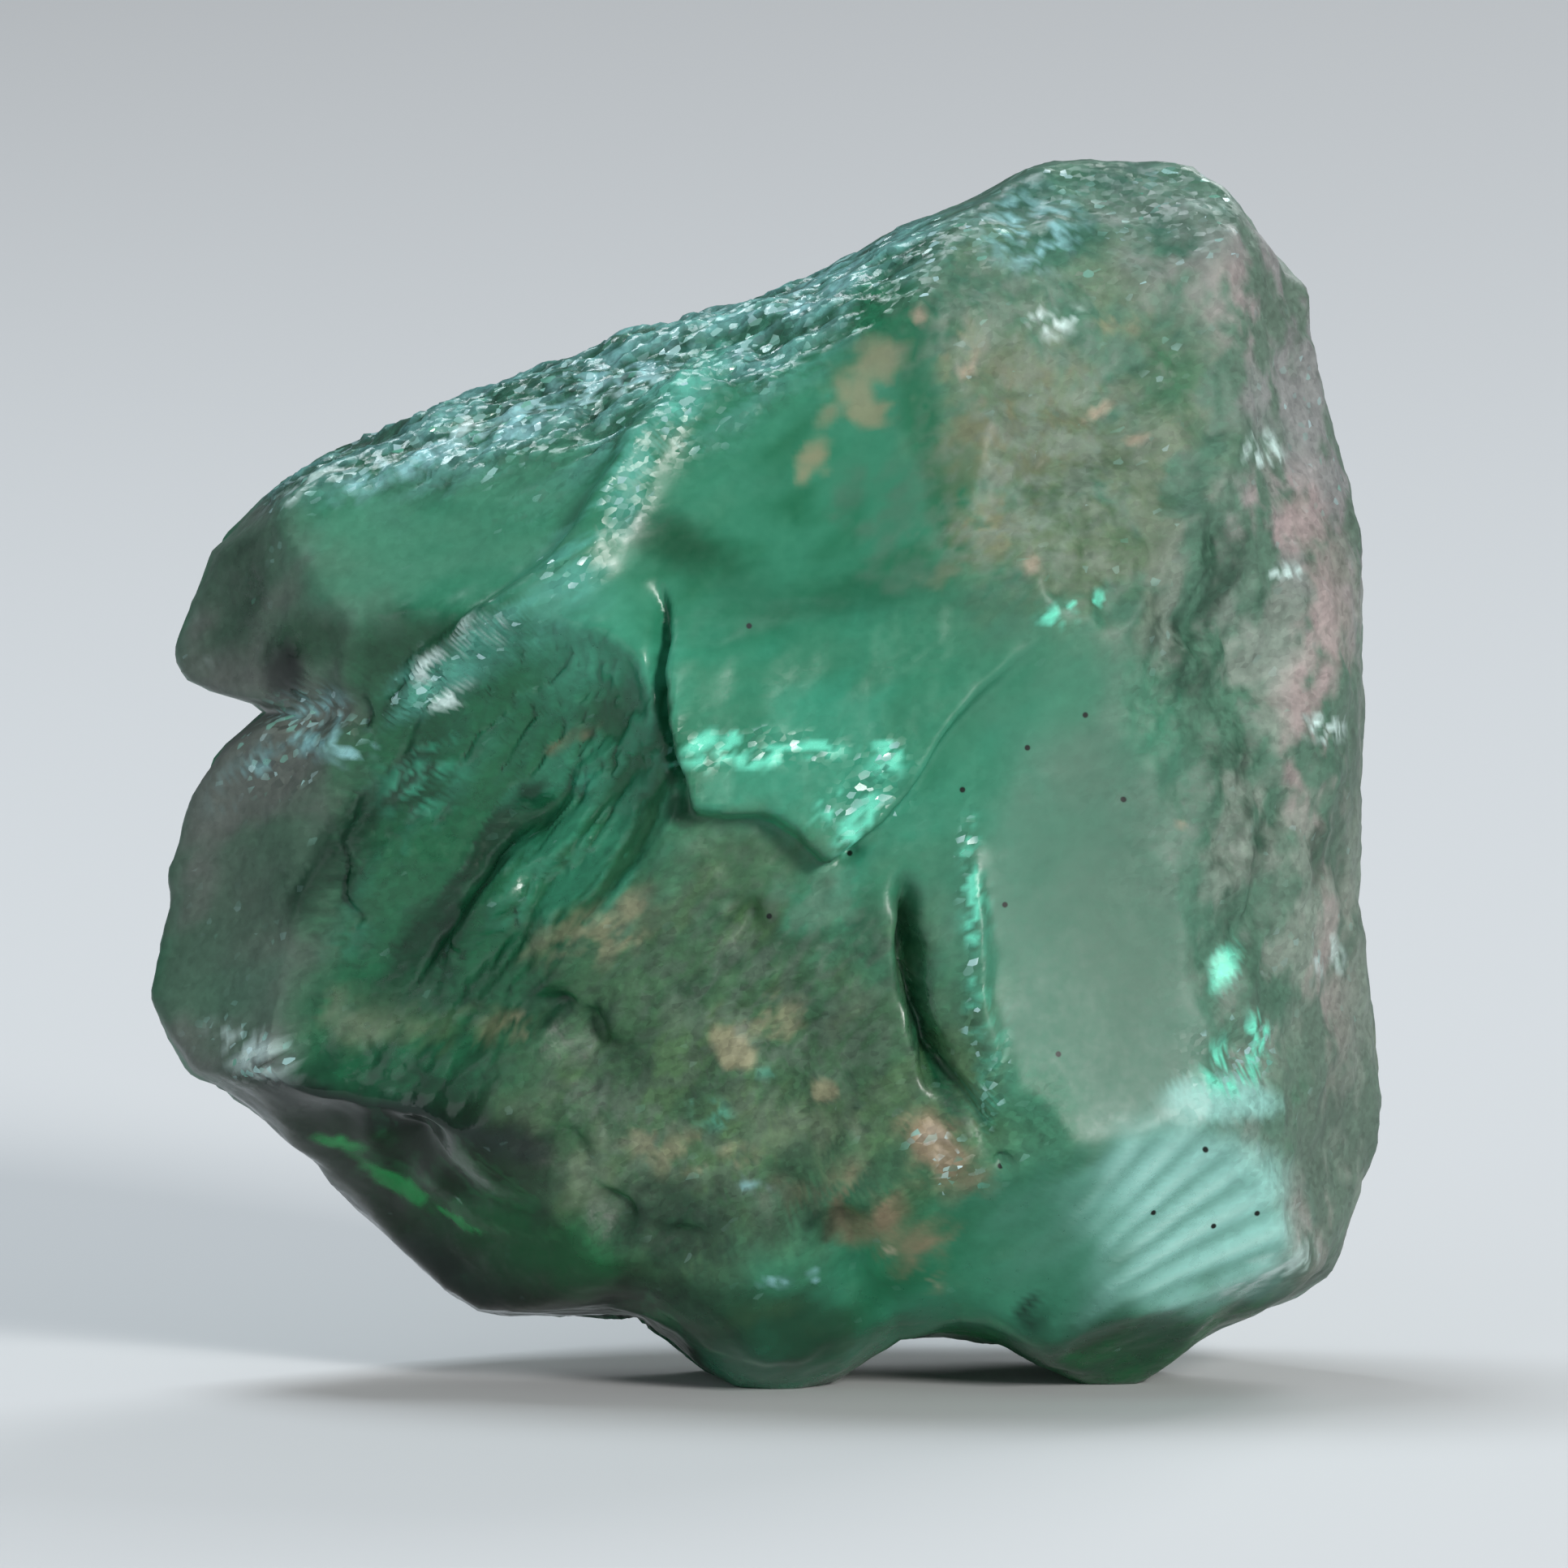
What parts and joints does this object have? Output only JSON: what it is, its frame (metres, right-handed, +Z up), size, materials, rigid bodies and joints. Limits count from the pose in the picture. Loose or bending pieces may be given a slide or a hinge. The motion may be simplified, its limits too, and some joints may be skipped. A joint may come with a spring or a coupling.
{
  "type": "rough emerald crystal",
  "caption": "Rough emerald: one broken, see-through green crystal with flat and bowl-shaped breaks, standing on two small flat feet.",
  "frame": {"origin": "on the ground under the middle of the stone's box", "axes": "+Z up, -Y out of the broken front that the picture shows, +X to the right of someone looking at that front; +Y runs through the stone's shortest extent"},
  "size_m": [0.0216, 0.0118, 0.0214],
  "materials": {
    "emerald": "rough, see-through green beryl with frosted breaks"
  },
  "bodies": {
    "root": {"emerald_crystal": "emerald"}
  },
  "joints": []
}
